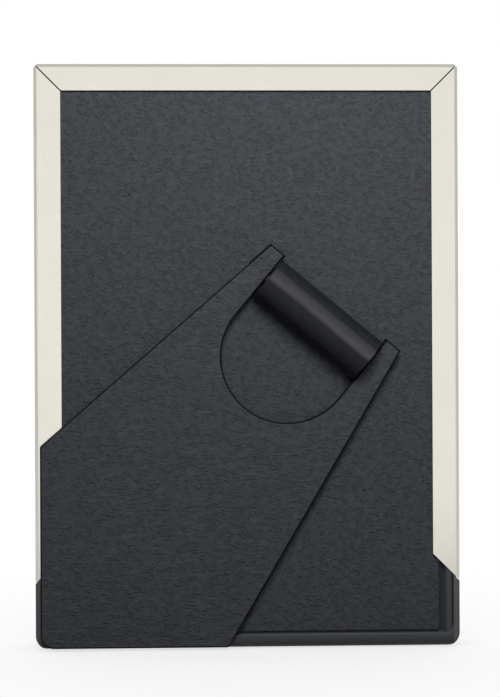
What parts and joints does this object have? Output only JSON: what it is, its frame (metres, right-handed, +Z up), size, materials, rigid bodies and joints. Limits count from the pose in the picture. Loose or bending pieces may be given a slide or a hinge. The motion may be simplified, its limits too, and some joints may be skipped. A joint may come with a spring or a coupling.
{
  "type": "easel back photo frame",
  "caption": "Satin metal photo frame with glass, a grained moulded back that slides out from below, and a diagonal easel leg that stands it upright or on its side.",
  "frame": {"origin": "centre of the frame's underside, on the surface that it stands on, leg folded flat", "axes": "+Z up, +Y out of the picture side, -Y out of the easel side, +X to the right seen from the easel side"},
  "size_m": [0.135, 0.0217, 0.1858],
  "materials": {
    "satin_metal": "satin, warm silver",
    "grained_plastic": "fine leather grain, charcoal",
    "smooth_plastic": "smooth, charcoal",
    "steel": "plain bright",
    "nylon": "black",
    "glass": "clear",
    "paper": "plain photo paper",
    "card": "grey-brown board"
  },
  "bodies": {
    "frame": {"top_rail": "satin_metal", "left_rail": "satin_metal", "right_rail": "satin_metal", "bottom_rail": "satin_metal", "corner_key_top_left": "steel", "corner_key_top_right": "steel", "corner_key_bottom_left": "steel", "corner_key_bottom_right": "steel", "glass": "glass", "print": "paper", "filler_card": "card"},
    "back": {"back_panel": "grained_plastic", "hinge_barrel": "smooth_plastic", "hinge_screws": "steel"},
    "leg": {"easel_leg": "grained_plastic", "hinge_pin": "steel", "hinge_washers": "nylon"}
  },
  "joints": [
    {"name": "back_slide", "type": "slide", "parent": "frame", "child": "back", "axis": [0, 0, -1], "range_m": [0, 0.19]},
    {"name": "leg_hinge", "type": "hinge", "parent": "back", "child": "leg", "pos_m": [0.02228, -0.00325, 0.10425], "axis": [-0.7694, 0, 0.6388], "range_deg": [0, 40]}
  ]
}
